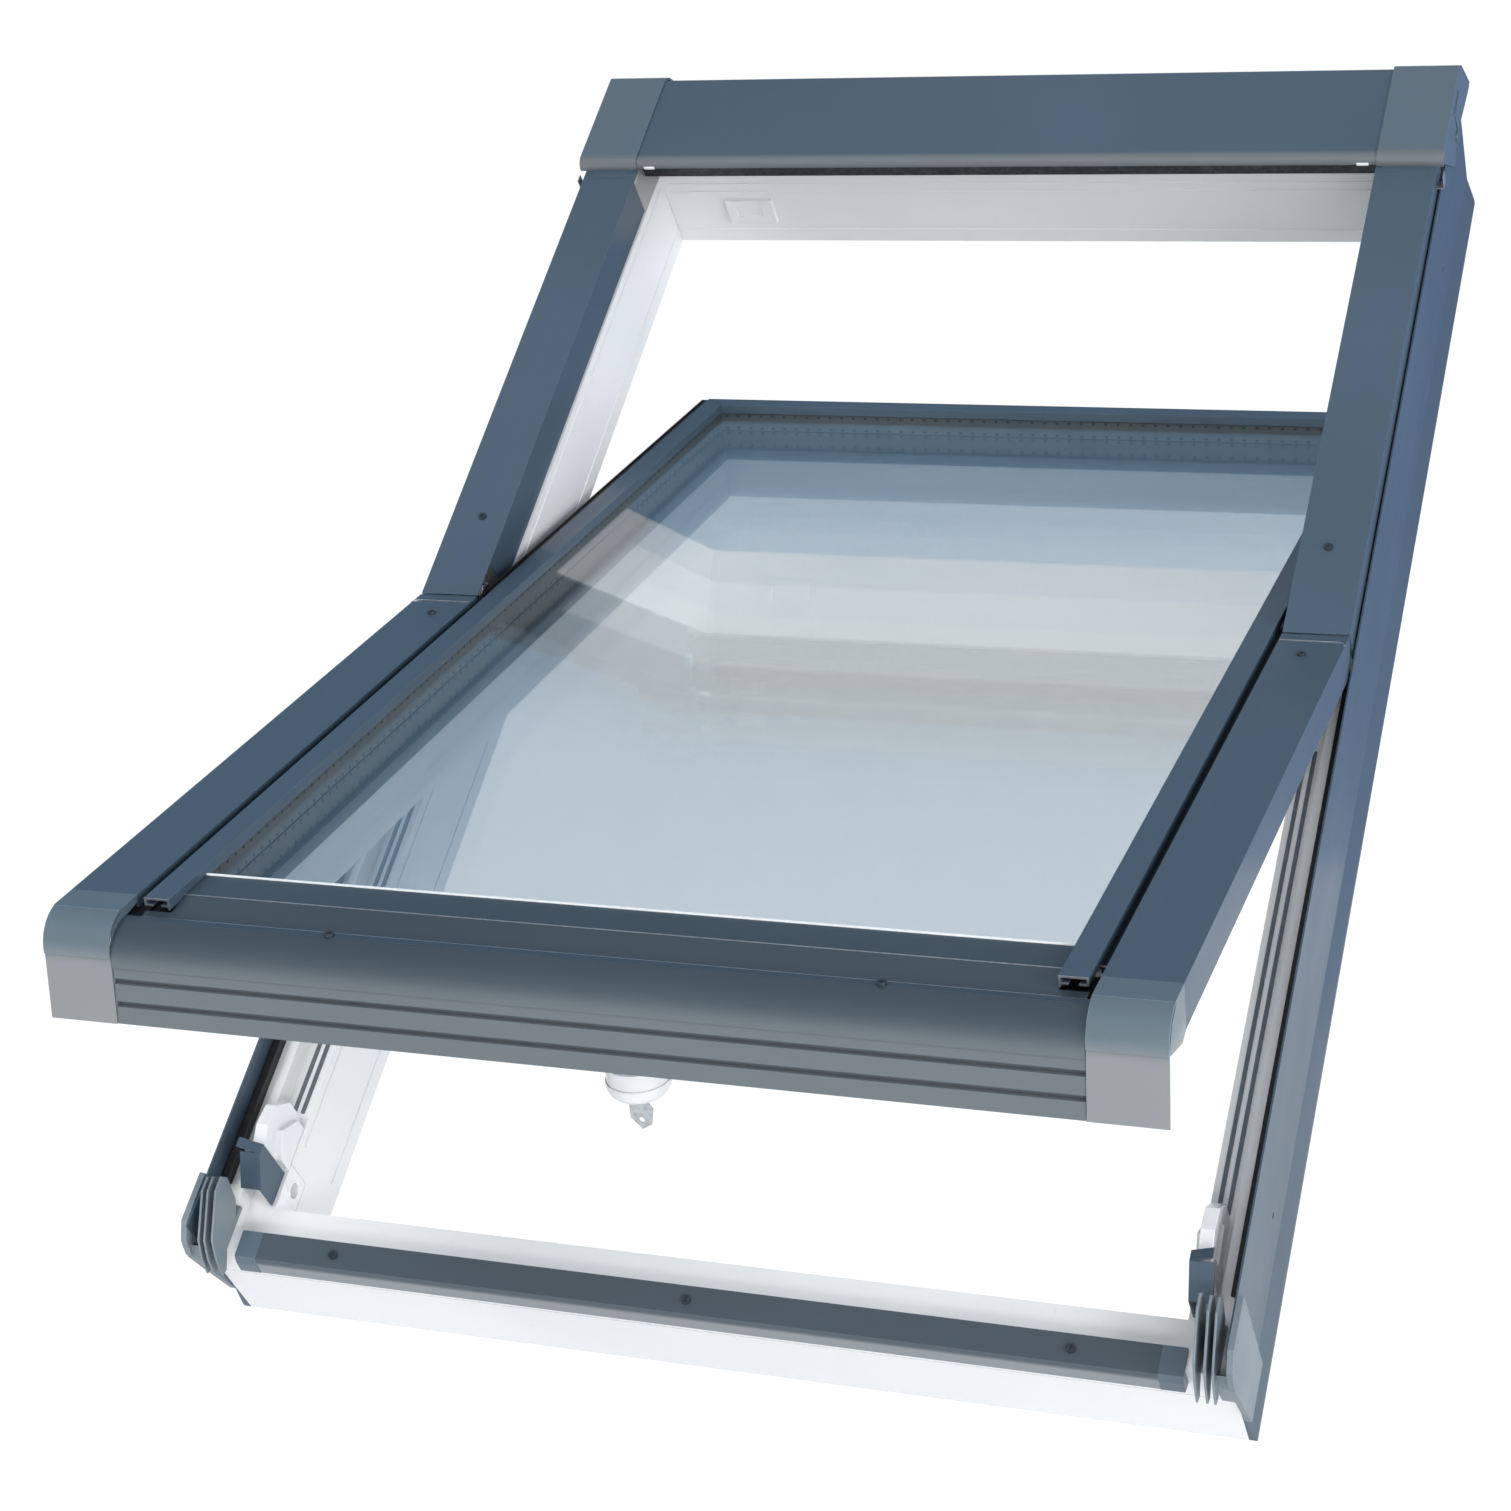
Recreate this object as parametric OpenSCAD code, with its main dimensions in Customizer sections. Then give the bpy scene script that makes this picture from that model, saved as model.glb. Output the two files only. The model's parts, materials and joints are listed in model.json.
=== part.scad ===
// Centre-pivot roof window, set at its roof pitch with the sash part open.
// Drawn in the plane of the roof: X across, Y up the slope, Z out of the roof, from the pivot axis.
// The whole window is then tilted about the middle of the sill's outer face.

/* [Window] */
// Overall width of the frame
window_w = 780; // [600:10:1000]
// Overall length of the frame along the slope
window_l = 1180; // [980:10:1420]
// Pitch of the roof above the horizontal
roof_pitch = 45; // [15:1:85]
// How far the sash is open
opening_angle = 30; // [0:1:140]

/* [Frame] */
// Depth from the outer cover plane to the back of the frame
frame_d = 147; // [140:1:180]
// Width of the white profile at the sides
jamb_w = 38; // [36:1:48]
// Width of the white profile at the sill
sill_w = 44; // [40:1:46]
// Width of the white profile at the head
head_w = 48; // [44:1:54]
// Wall of the hollow white profiles
wall = 3; // [2:0.5:4]
// Flare of the side trims beyond the jambs
flare = 6; // [4:1:10]

/* [Sash] */
// Face width of the sash profile
sash_w = 37; // [36:1:46]
// Depth of the sash from the cover plane
sash_d = 100; // [94:1:108]
// Gap between sash and jamb
side_gap = 5; // [4:0.5:8]
// Gap between sash and sill
sill_gap = 6; // [6:0.5:9]
// Thickness of each pane
pane_t = 4; // [3:1:6]
// Width of each gas space
gas_t = 16; // [12:1:18]
// Depth of the glass face below the cover plane
glass_set = 8; // [8:1:10]

/* [Covers] */
// Thickness of the folded metal covers
sheet = 1.5; // [1:0.1:2]
// Face width of the side covers
cover_w = 50.5; // [46:0.5:54]
// Depth of the outer skirt of the side covers
skirt = 31; // [24:1:36]
// Height of the hood above the cover plane
hood_h = 8.5; // [7:0.5:14]
// Drop of the bottom cover below the cover plane
drop = 72; // [68:1:76]

/* [Hardware] */
// Radius of the curved hinge track
track_r = 42; // [38:1:48]
// Radius of the hinge studs
stud_r = 4; // [3:0.5:5]
// Length of the handle lever
lever_l = 118; // [90:1:130]
// Depth of a keeper slot that takes a bolt
keeper_depth = 13; // [10:1:14]

/* [Hidden] */
$fn = 48;
WHITE = [0.92, 0.93, 0.92];
BLUE = [0.28, 0.35, 0.42];
PALE = [0.42, 0.48, 0.53];
BLACK = [0.05, 0.05, 0.06];
STEEL = [0.7, 0.71, 0.72];
GLASS = [0.7, 0.82, 0.88, 0.5];

// distances across
xw = window_w / 2;
xj = xw - flare;              // outer face of the jambs
xi = xj - jamb_w;             // inner face of the jambs
xs = xi - side_gap;           // outer face of the sash
xo = xs - sash_w;             // inner edge of the sash
xc1 = xj - 1.4;               // outer face of the side covers
xc0 = xc1 - cover_w;          // inner edge of the side covers
xr0 = xo + 2;                 // inner edge of the glazing rails
xr1 = xc0 - 7;                // outer edge of the glazing rails
xg = xs - 19;                 // edge of the glass
// distances along the slope
vb = -580 / 1180 * window_l;  // outer face of the sill
vt = vb + window_l;           // outer face of the head
vbi = vb + sill_w;            // inner face of the sill
vti = vt - head_w;            // inner face of the head
ub = vbi + sill_gap;          // bottom of the sash profile
ut = vti - 7;                 // top of the sash profile
uob = ub + sash_w;            // sash opening, bottom
uot = ut - sash_w - 3;        // sash opening, top
ugb = ub + 8;                 // glass edge, bottom
ugt = ut - 22;                // glass edge, top
uv = ub + 22;                 // visible glass, bottom
utv = uot + 2;                // visible glass, top
uc = vb + 25;                 // where the side covers meet the end caps
uf = vb - 24.5;               // front of the bottom cover
uk = ub + 19;                 // middle of the bottom rail
// depths
zl = -64;                     // inner ledge of the frame
zt = -48;                     // top of the frame profile
zu = -19;                     // top of the side trims
zg = -glass_set;              // outer face of the glass
unit_t = 3 * pane_t + 2 * gas_t;
zg1 = zg - unit_t;            // inner face of the glass
zs = zg1 - 2;                 // glazing seat
zw = -12;                     // top of the sash's outer wall
zk = -9;                      // top of the sash seal
zb = -82;                     // axis of the bolts
zf = -86;                     // groove line across the outer face of the sill
zc = 43 - frame_d;            // web between the upper and lower chambers
zr0 = 30 - frame_d;           // where the side trims start to flare
slip = 0.05;

// ---------- helpers ----------
module roof() rotate([roof_pitch, 0, 0]) translate([0, -vb, (frame_d - zf) / 2]) children();
module sash() roof() rotate([-opening_angle, 0, 0]) children();
module left() mirror([1, 0, 0]) children();
// section drawn in X and Z, run along the slope from v0 to v1
module along(v0, v1) translate([0, v1, 0]) rotate([90, 0, 0]) linear_extrude(v1 - v0) children();
// section drawn in Y and Z, run across from x0 to x1
module across(x0, x1) translate([x0, 0, 0]) rotate([90, 0, 90]) linear_extrude(x1 - x0) children();
// outline drawn in X and Y, from depth z0 to z1
module deep(z0, z1) translate([0, 0, z0]) linear_extrude(z1 - z0) children();
module box(a, b) translate(a) cube(b - a);
module rect(x0, y0, x1, y1) translate([x0, y0]) square([x1 - x0, y1 - y0]);
module ring(x, v0, v1, x1, v2, v3) difference() { rect(-x1, v2, x1, v3); rect(-x, v0, x, v1); }
module pan_screw(p, r = 3.4) translate(p) {
  difference() {
    cylinder(r = r, h = 1.8);
    translate([-r * 0.6, -0.5, 0.8]) cube([r * 1.2, 1, 2]);
    translate([-0.5, -r * 0.6, 0.8]) cube([1, r * 1.2, 2]);
  }
  translate([0, 0, -12]) cylinder(r = 1.9, h = 12);
}

// ---------- frame profiles ----------
ledge = 16;                   // width of the raised outer part
module frame_section(w) difference() {
  polygon([[0, -frame_d], [w, -frame_d], [w, zt], [w - ledge, zt], [w - ledge, zl], [0, zl]]);
  rect(wall, wall - frame_d, w - wall, zc);
  rect(wall, zc + wall, w - wall, zl - wall);
  rect(w - ledge + wall, zl, w - wall, zt - wall);
}
// outline of one mitred member, inside and outside corners joined
module jamb_outline() polygon([[xi, vbi], [xj, vb], [xj, vt], [xi, vti]]);
module jamb() difference() {
  intersection() {
    along(vb, vt) translate([xi, 0]) frame_section(jamb_w);
    deep(-frame_d, 0) jamb_outline();
  }
  // pocket for the keeper
  box([xi - 1, uk - 13, zl - 30], [xi + 17, uk + 13, zl + 1]);
  box([xi - 1, -track_r - 13, -frame_d / 2 - 13], [xi + 3, track_r + 13, 0]);
  fix_holes();
}
module frame_jamb_right() color(WHITE) roof() jamb();
module frame_jamb_left() color(WHITE) roof() left() jamb();
module frame_sill() color(WHITE) roof() difference() {
  intersection() {
    across(-xj, xj) translate([vbi, 0]) mirror([1, 0]) frame_section(sill_w);
    deep(-frame_d, 0) polygon([[-xi, vbi], [-xj, vb], [xj, vb], [xi, vbi]]);
  }
  box([-xw, vb - 1, zf], [xw, vb + 1, zf + 1.5]);
  for (x = sill_screw_x) translate([x, sill_screw_v, zt - 14]) cylinder(r = 2, h = 20);
}
module frame_head() color(WHITE) roof() intersection() {
  across(-xj, xj) translate([vti, 0]) frame_section(head_w);
  deep(-frame_d, 0) polygon([[-xi, vti], [-xj, vt], [xj, vt], [xi, vti]]);
}
// steel box bars inside the lower chamber of each jamb
bar_gap = 0.4;
bar_t = 2;
module reinforcements() color(STEEL) roof() for (s = [0, 1]) mirror([s, 0, 0])
  along(vb + 60, vt - 70) translate([xi, 0]) difference() {
    rect(wall + bar_gap, wall - frame_d, jamb_w - wall - bar_gap, zc - bar_gap);
    rect(wall + bar_gap + bar_t, wall - frame_d + bar_t, jamb_w - wall - bar_gap - bar_t,
      zc - bar_gap - bar_t);
  }

// ---------- frame metalwork ----------
trim_t = 1.4;
module side_trim() along(vb, vt) polygon([[xj, zu], [xj + trim_t, zu], [xj + trim_t, zr0],
  [xw, 4 - frame_d], [xw, -frame_d], [xj, -frame_d]]);
// the fixing holes for the side brackets
fix_v = [vb + 140, vt - 140];
fix_z = zf;
fix_r = 2.5;
module fix_holes() for (v = fix_v) translate([xj - wall - 1, v, fix_z])
  rotate([0, 90, 0]) cylinder(r = fix_r, h = wall + trim_t + 3);
module side_trim_right() color(BLUE) roof() difference() { side_trim(); fix_holes(); }
module side_trim_left() color(BLUE) roof() left() difference() { side_trim(); fix_holes(); }
module frame_gaskets() color(BLACK) roof() for (s = [0, 1]) mirror([s, 0, 0])
  along(vb + 52, -8) { rect(xj - 5, zt, xj - 1, zt + 12); rect(xj - 7, zt + 9, xj - 5, zt + 12); }
// dark two-step rail under the hood
module head_rail() color(BLACK) roof() across(-xi - 12, xi + 12) polygon([[vti, zt], [vt, zt],
  [vt, zt + 14], [vt - 4, zt + 14], [vt - 4, zt + 4], [vti + 8, zt + 4], [vti + 8, zt + 14],
  [vti + 2, zt + 14], [vti + 2, zt + 7], [vti - 4, zt + 7], [vti - 4, zt - 12], [vti, zt - 12]]);
module vent_mesh() color([0.4, 0.38, 0.3]) roof() across(-xi + 10, xi - 10)
  rect(vti + 3, zt + 14, vti + 7, zt + 30);

// ---------- hood ----------
hv0 = vt - 105;               // front of the hood
hv1 = vt + 4;                 // bend at the back
hv2 = vt + 38;                // end of the back slope
nose_r = 7.5;
hx = xc0 + 5;                 // end of the middle sheet
module nose(r, v, z) translate([v + r, z - r]) intersection() {
  difference() { circle(r = r); circle(r = r - sheet); }
  rect(-r, 0, 0.5, r);
}
// front nose, flat top and back slope; the end caps sit "lift" higher and "o" further back
module hood_section(lift, o) {
  top = hood_h + lift;
  nose(nose_r + lift, hv0 - lift, top);
  rect(hv0 + nose_r, top - sheet, hv1 - 2 + o, top);
  polygon([[hv1 - 3 + o, top], [hv1 - 2 + o, top], [hv1 + 5 + o, top - 6], [hv2 + o, -42],
    [hv2 + o - 2, -42], [hv1 + 3 + o, top - 6.4], [hv1 - 2 + o, top - sheet], [hv1 - 3 + o, top - sheet]]);
}
module hood() color(BLUE) roof() across(-hx, hx) {
  hood_section(-0.2, 0);
  rect(hv0 + 0.6, 1.6, hv0 + 8, 1.6 + sheet);
}
module hood_cap() {
  across(xc0 + 1, xj + 4) hood_section(1.4, 2.2);
  across(hx + 0.3, xj + 4) {
    rect(hv0 - 1.4, 0, hv0 - 1.4 + sheet, 2);
    rect(hv0 - 1.4, 0, hv0 + 6, sheet);
  }
  across(xj + 2.5, xj + 4) polygon([[hv0 + 2, 0], [hv0 + 46, -46], [hv0 + 52, -46], [hv0 + 60, -30],
    [hv2 - 10, -42], [hv2 - 1, -42], [hv1 + 6, 2], [hv1, hood_h], [hv0 + 4, hood_h]]);
}
module hood_cap_right() color(PALE) roof() hood_cap();
module hood_cap_left() color(PALE) roof() left() hood_cap();

// ---------- upper side covers ----------
screw_v = 84;
module cover_sheet(v0, v1, leg) {
  along(v0, v1) {
    rect(xc0, -sheet, xc1, 0);
    rect(xc1 - sheet, -skirt, xc1, -sheet);
    leg_section(leg);
  }
}
module leg_section(leg) if (leg == 0) rect(xi + 2, zl, xi + 2 + sheet, -sheet);
  else rect(xc0, zk, xc0 + sheet, -sheet);
module upper_cover() difference() {
  union() {
    cover_sheet(1, hv0 + 12, 0);
    box([xc0 + 9, hv0 - 11, -0.5], [xc1 - 9, hv0 - 3, 0.6]);
  }
  box([xi, 0, zl - 1], [xi + 5, track_r + 16, -sheet]);
  translate([xc0 + 22, screw_v, -13]) cylinder(r = 2, h = 20);
}
module upper_cover_right() color(BLUE) roof() upper_cover();
module upper_cover_left() color(BLUE) roof() left() upper_cover();

// ---------- sill ----------
sill_screw_x = [-0.354 * window_w, 0, 0.354 * window_w];
sill_screw_v = vb + 4;
sx = xi - 9;                  // end of the sill cover
end_w = 17;
module sill_section(g) polygon([[vb + 15, zt], [vb + 15, zt + 3 + g], [vb - 6, zt + 2 + g],
  [vb - 8 - g, zt - 4], [vb - 9 - g, zt - 14], [vb, zt - 18], [vb, zt]]);
module sill_cover() color(BLUE) roof() difference() {
  across(-sx, sx) sill_section(0);
  for (x = sill_screw_x) translate([x, sill_screw_v, zt - 8]) cylinder(r = 2, h = 20);
}
module sill_end_right() color(PALE) roof() across(sx, sx + end_w) sill_section(0.5);
module sill_end_left() color(PALE) roof() left() across(sx, sx + end_w) sill_section(0.5);

// ---------- corner guides, brackets and keepers ----------
fin_x = [xj - 21, xj - 14, xj - 8.6];
module fin(s) across(0, 1.6) polygon([[vb + 34, -34], [vb + 40, -12 + s], [vb + 36, -4 + s],
  [vb + 24, -4 + s], [vb - 6, -24 + s], [vb - 14, -40], [vb - 18, -56], [vb - 12, -58],
  [vb, zt], [vb + 20, zt]]);
module corner_guide() {
  for (i = [0, 1, 2]) translate([fin_x[i], 0, 0]) fin(-1.5 * i);
  box([fin_x[0], vb + 16, zt], [xj - 7, vb + 34, zt + 4]);
  // outer cheek, folded over the end of the trim
  across(xj + trim_t, xw) {
    polygon([[vb + 44, -17], [vb + 4, -17], [vb - 8, -27], [vb - 12, -40], [vb - 8, -70],
      [vb, zr0], [vb + 44, zr0]]);
  }
  across(xj - 7, xw) polygon([[vb, zt], [vb, -78], [vb - 8, -70], [vb - 12, -44], [vb - 6, -36]]);
}
module corner_guide_right() color(PALE) roof() corner_guide();
module corner_guide_left() color(PALE) roof() left() corner_guide();
// folded steel ramp between guide and keeper
module guide_bracket() {
  across(xi + 3, xi + 3 + sheet) polygon([[vb + 46, zl], [vb + 46, -40], [vb + 66, -20],
    [vb + 74, -20], [vb + 74, zl]]);
  along(vb + 66, vb + 74) polygon([[xi + 3, -20], [xi + 20, -12], [xi + 20, -13.5], [xi + 3, -21.8]]);
  across(xi + 3, xi + 20) polygon([[vb + 46, -40], [vb + 66, -20], [vb + 67.5, -21.5],
    [vb + 47.5, -41.5]]);
}
module guide_bracket_right() color(BLUE) roof() guide_bracket();
module guide_bracket_left() color(BLUE) roof() left() guide_bracket();
bolt_r = 5;
module keeper() difference() {
  union() {
    box([xi + 0.2, uk - 12.8, zl - 29.8], [xi + 16.8, uk + 12.8, zl]);
    across(xi + 6, xi + 16) polygon([[uk - 4, zl], [uk + 10, zl], [uk + 52, zl], [uk + 52, -40],
      [uk + 40, -24], [uk + 22, -21], [uk + 4, -28], [uk - 2, -44]]);
    across(xi + 1, xi + 6) polygon([[uk + 8, zl], [uk + 44, zl], [uk + 44, -52], [uk + 26, -36],
      [uk + 8, -50]]);
  }
  translate([xi - 1, uk, zb]) rotate([0, 90, 0]) cylinder(r = bolt_r + 1, h = keeper_depth + 1);
  across(xi + 9, xi + 17) polygon([[uk + 10, -40], [uk + 34, -36], [uk + 40, -48], [uk + 12, -52]]);
}
module keeper_right() color(WHITE) roof() keeper();
module keeper_left() color(WHITE) roof() left() keeper();
module head_catch() color(WHITE) roof() difference() {
  box([-xi + 58, vti - 4, -120], [-xi + 104, vti, -92]);
  box([-xi + 66, vti - 4.5, -112], [-xi + 92, vti - 2, -100]);
}

// ---------- hinges ----------
hinge_t = 2.8;
a_shut = -16;                 // angle of the stud with the sash shut
a_full = a_shut - 140;        // and with the sash fully turned for cleaning
// points on an arc of radius r in Y and Z
function arc(r, a0, a1, n) = [for (i = [0:n]) r * [cos(a0 + (a1 - a0) * i / n),
  sin(a0 + (a1 - a0) * i / n)]];
// the slot runs a little past both ends of the travel
a_end = asin((stud_r + 0.6) / track_r);
module track_hole(r) intersection() {
  difference() { circle(r = track_r + r); circle(r = track_r - r); }
  polygon(concat([[0, 0]], arc(2 * track_r, a_shut + a_end, a_full - a_end, 8)));
}
module frame_hinge() difference() {
  across(xi + 3 - hinge_t, xi + 3) rect(-track_r - 13, -frame_d / 2 - 13, track_r + 13, -4);
  across(xi - 1, xi + 4) track_hole(stud_r + slip);
}
module frame_hinge_right() color(STEEL) roof() frame_hinge();
module frame_hinge_left() color(STEEL) roof() left() frame_hinge();
// rounded arm out to the stud
module arm() rotate(a_shut) {
  translate([track_r, 0]) circle(r = stud_r + 3);
  rect(track_r - 12, -stud_r - 1.5, track_r, stud_r + 1.5);
}
module sash_hinge() {
  across(xs, xs + 4) difference() {
    union() {
      rect(-track_r - 6, -66, track_r + 6, -22);
      arm();
      rect(track_r - 10, -24, track_r + 4, -11);
    }
    for (v = [-1, 1]) translate([v * (track_r - 4), -54]) circle(r = 2);
  }
  rotate([a_shut, 0, 0]) translate([xs, track_r, 0]) rotate([0, 90, 0])
    cylinder(r = stud_r, h = xi + 2.6 - xs);
}
module sash_hinge_right() color(STEEL) sash() sash_hinge();
module sash_hinge_left() color(STEEL) sash() left() sash_hinge();

// ---------- sash profiles ----------
module sash_section(w, lip) difference() {
  polygon([[0, -sash_d], [w, -sash_d], [w, zw], [w - lip, zw], [w - lip, zs], [0, zs]]);
  rect(wall, -sash_d + wall, w - wall, zs - wall);
}
module sash_stile() intersection() {
  along(ub, ut) translate([xo, 0]) sash_section(sash_w, 14);
  deep(-sash_d, 0) polygon([[xo, uob], [xs, ub], [xs, ut], [xo, uot]]);
}
module bolt_hole(x0, x1) translate([x0, uk, zb]) rotate([0, 90, 0])
  cylinder(r = bolt_r + slip, h = x1 - x0);
module sash_stile_right() color(WHITE) sash() difference() {
  sash_stile();
  bolt_hole(xs - 20, xs + 1);
}
module sash_stile_left() color(WHITE) sash() left() difference() {
  sash_stile();
  bolt_hole(xs - 20, xs + 1);
}
module sash_rail_top() color(WHITE) sash() intersection() {
  across(-xs, xs) translate([uot, 0]) sash_section(ut - uot, 18);
  deep(-sash_d, 0) polygon([[-xo, uot], [-xs, ut], [xs, ut], [xo, uot]]);
}
module sash_rail_bottom() color(WHITE) sash() difference() {
  intersection() {
    across(-xs, xs) translate([uob, 0]) mirror([1, 0]) sash_section(sash_w, 7);
    deep(-sash_d, 0) polygon([[-xo, uob], [-xs, ub], [xs, ub], [xo, uob]]);
  }
  translate([0, uk, -sash_d - 1]) cylinder(r = hub_hole_r, h = 10);
  bolt_hole(xs - 40, xs + 1);
  mirror([1, 0, 0]) bolt_hole(xs - 40, xs + 1);
}
module pane(z1) color(GLASS) sash() box([-xg, ugb, z1 - pane_t], [xg, ugt, z1]);
module pane_outer() pane(zg);
module pane_middle() pane(zg - pane_t - gas_t);
module pane_inner() pane(zg - 2 * (pane_t + gas_t));
module spacer(z1) color(STEEL) sash() deep(z1 - gas_t, z1)
  ring(xg - 14, ugb + 14, ugt - 14, xg - 6, ugb + 6, ugt - 6);
module spacer_outer() spacer(zg - pane_t);
module spacer_inner() spacer(zg - 2 * pane_t - gas_t);
module edge_seal() color(BLACK) sash() {
  deep(zg - pane_t - gas_t, zg - pane_t) ring(xg - 6, ugb + 6, ugt - 6, xg, ugb, ugt);
  deep(zg1 + pane_t, zg1 + pane_t + gas_t) ring(xg - 6, ugb + 6, ugt - 6, xg, ugb, ugt);
  deep(zg1, zg) ring(xg, ugb, ugt, xg + 0.8, ugb - 0.8, ugt + 0.8);
}
// seat of the glass, with a lip over the inner edge of the sash profile
lip_t = 1.2;
lip_d = 8;
module glazing_gasket() color(PALE) sash() {
  deep(zs, zg1) ring(xo - lip_t, uob + lip_t, uot - lip_t, xg - 3, ugb + 3, ugt - 3);
  deep(zs - lip_d, zg1) ring(xo - lip_t, uob + lip_t, uot - lip_t, xo - slip, uob + slip, uot - slip);
}

// ---------- sash metalwork ----------
rv = uv - 50;                 // lower end of the side glazing rails
rail_in = -6;                 // depth of the rail flange
module rail_section(x0, x1) difference() {
  union() {
    rect(x0, rail_in, x1, 0);
    rect(x0, zg, x0 + sheet, rail_in);
  }
  rect(x0 + sheet, rail_in + sheet - 0.2, x1 - sheet, -sheet);
  rect(x0 + sheet + 5, rail_in - 1, x1 - sheet - 5, rail_in + sheet);
}
module glazing_rail() {
  intersection() {
    along(rv, ut) rail_section(xr0, xr1);
    deep(zg, 0) polygon([[xr0, rv], [xr1, rv], [xr1, utv + xr1 - xr0], [xr0, utv]]);
  }
  along(ub + 6, utv) rect(xr1 - sheet, zw, xr1, rail_in);
}
module glazing_rail_right() color(BLUE) sash() glazing_rail();
module glazing_rail_left() color(BLUE) sash() left() glazing_rail();
module glazing_rail_top() color(BLUE) sash() intersection() {
  union() {
    across(-xs, xs) translate([utv - xr0, 0]) rail_section(xr0, xr1);
    across(-xr0, xr0) rect(utv + xr1 - xr0 - sheet, zw, utv + xr1 - xr0, rail_in);
  }
  deep(zw, 0) polygon([[-xr0, utv], [-xr1, utv + xr1 - xr0], [xr1, utv + xr1 - xr0], [xr0, utv]]);
}
// strip between glass and bottom cover: flat by the glass, then falling
strip_w = 30;
strip_drop = 5;
module glazing_strip_bottom() color(BLUE) sash() difference() {
  across(-xr1, xr1) {
    polygon([[uv, rail_in], [uv, rail_in - 2], [uv - strip_w, rail_in - 2],
      [vb + 14, rail_in - 2 - strip_drop], [vb + 14, rail_in - strip_drop], [uv - strip_w, rail_in]]);
    rect(ub + 1, zw, ub + 3, rail_in - 1);
  }
  for (s = [-1, 1]) box([s > 0 ? xr0 : -xr1 - 1, rv, zg - 6], [s > 0 ? xr1 + 1 : -xr0, uv + 1, 0]);
}
module sash_gasket() color(BLACK) sash() {
  deep(zw, zk) difference() {
    rect(-xs, ub, xs, ut);
    rect(-xr1, ub - 1, xr1, utv + xr1 - xr0);
  }
  // plugs under the ends of the side rails
  for (s = [0, 1]) mirror([s, 0, 0]) box([xr0 + 0.5, vb + 15, zw - 8], [xc0 - 0.3, ub - slip, zw - 2.2]);
}
module sash_cover() difference() {
  cover_sheet(uc, -1, 1);
  translate([xc0 + 22, -41, -13]) cylinder(r = 2, h = 20);
}
module sash_cover_right() color(BLUE) sash() sash_cover();
module sash_cover_left() color(BLUE) sash() left() sash_cover();
// rounded section shared by the bottom cover and the end caps
front_r = 26;
module front_section(t) difference() {
  union() {
    polygon([[uf + 6 + front_r, 0], [uf + front_r, 0], [uf + front_r, -front_r], [uf + 6, -front_r],
      [uf, -drop], [uf + 6 + front_r, -drop]]);
    intersection() {
      translate([uf + 5 + front_r, -front_r]) circle(r = front_r);
      rect(uf, -front_r, uf + front_r + 5, 0);
    }
  }
  union() {
    polygon([[uf + 40 + front_r, -t], [uf + 5 + front_r, -t], [uf + 5 + front_r, -front_r],
      [uf + 6 + t, -front_r], [uf + t, -drop - 1], [uf + 40 + front_r, -drop - 1]]);
    intersection() {
      translate([uf + 5 + front_r, -front_r]) circle(r = front_r - t);
      rect(uf, -front_r - 1, uf + front_r + 5, 0);
    }
  }
}
module cap() {
  across(xc0, xc1) {
    front_section(sheet);
    rect(uf + 5 + front_r, -sheet, uc, 0);
  }
  across(xc1 - sheet, xc1) polygon([[uc, 0], [uc, -skirt], [uc - 10, -skirt - 4], [uf + 12, -28],
    [uf + 5.6, -26], [uf + 16, -9], [uf + 31, -0.8]]);
  across(xc0, xc0 + sheet) polygon([[uf + 0.8, -drop], [uf + 6.2, -26], [uf + 16, -8], [uf + 31, -0.8],
    [uc, -0.8], [uc, -5], [uf + 34, -7], [uf + 19, -15], [uf + 12, -30], [uf + 7, -drop]]);
}
module cap_right() color(PALE) sash() cap();
module cap_left() color(PALE) sash() left() cap();
groove = [-35.5, -51.5];
// front face of the covers at depth g
function face(g) = uf + 6 * (g + drop) / (drop - front_r);
module bottom_cover() color(PALE) sash() difference() {
  translate([0, 0, -6.5]) across(-xc0 + 0.5, xc0 - 0.5) {
    difference() {
      intersection() {
        front_section(4);
        rect(uf - 1, -drop + 6.5, vb + 12, 0);
      }
      for (g = groove) rect(uf - 2, g - 2, face(g) + 5, g + 2);
    }
    for (g = groove) rect(face(g) + 3.6, g - 3.4, face(g) + 5.6, g + 3.4);
    rect(uf + 12, -20, ub, -18);
    rect(uf + 8, -25, uf + 13, -18);
    rect(vb + 9, -18, vb + 11, -2);
  }
  for (x = cover_screw_x) translate([x, cover_screw_v, -24]) cylinder(r = 2, h = 24);
}
cover_screw_x = [-0.228 * window_w, 0.256 * window_w];
cover_screw_v = vb + 4;

// ---------- handle, lock and bolts ----------
hub_hole_r = 8.1;
rose_t = 9;
zr = -sash_d - rose_t;
module gearbox() color(STEEL) sash() difference() {
  box([-45, uk - 10, -sash_d + wall], [45, uk + 10, zs - wall - 1]);
  translate([0, uk, -sash_d]) cylinder(r = hub_r + slip, h = sash_d + zs - wall);
  for (s = [-1, 1]) translate([s > 0 ? 26 : -46, uk, zb]) rotate([0, 90, 0])
    cylinder(r = bolt_r + slip, h = 20);
}
hub_r = 8;
module handle_rose() color(WHITE) sash() difference() {
  union() {
    deep(zr, -sash_d) translate([0, uk]) union() {
      square([40, 32], center = true);
      for (s = [-1, 1]) translate([20 * s, 0]) circle(r = 16);
    }
    translate([0, uk, zr - 8]) cylinder(r = 15, h = 9);
  }
  translate([0, uk, zr - 20]) cylinder(r = hub_r + slip, h = 40);
}
plug_r = 5;
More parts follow.
